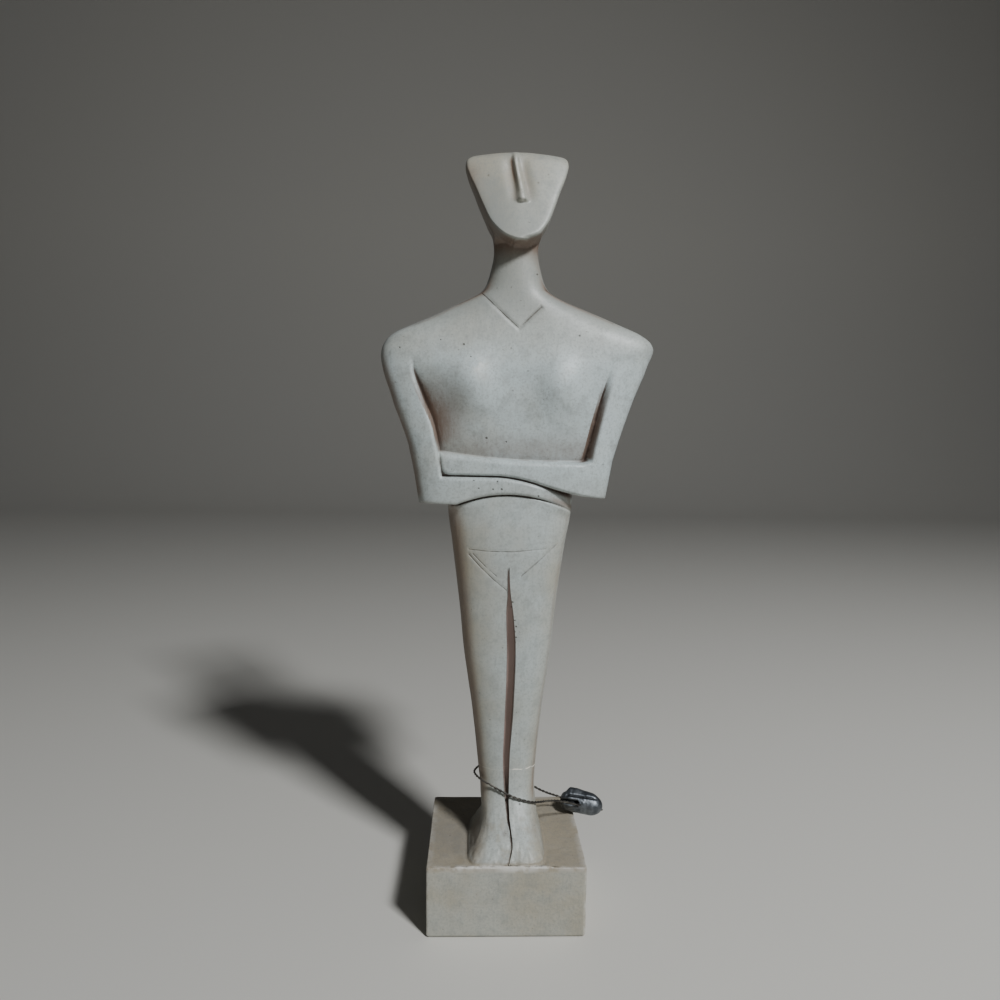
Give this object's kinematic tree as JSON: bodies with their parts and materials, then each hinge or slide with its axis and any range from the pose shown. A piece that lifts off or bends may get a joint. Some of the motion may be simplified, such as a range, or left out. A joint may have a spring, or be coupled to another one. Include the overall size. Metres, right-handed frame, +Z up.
{
  "type": "cycladic figurine replica",
  "caption": "Cast souvenir replica of a folded-arm standing figurine on its own square block, with a crimped lead seal wired round the ankles.",
  "frame": {"origin": "middle of the block's underside", "axes": "+Z up from the block to the crown, -Y the way the figure faces, +X towards the figure's left hand side, which is the viewer's right"},
  "size_m": [0.1057, 0.0576, 0.3],
  "materials": {
    "cast_stone": "matt cast stone with a rubbed brown patina in its hollows",
    "lead": "dull grey crimped lead",
    "wire": "dull thin wire"
  },
  "bodies": {
    "root": {"figurine": "cast_stone", "lead_seal": "lead", "seal_wire": "wire"}
  },
  "joints": []
}
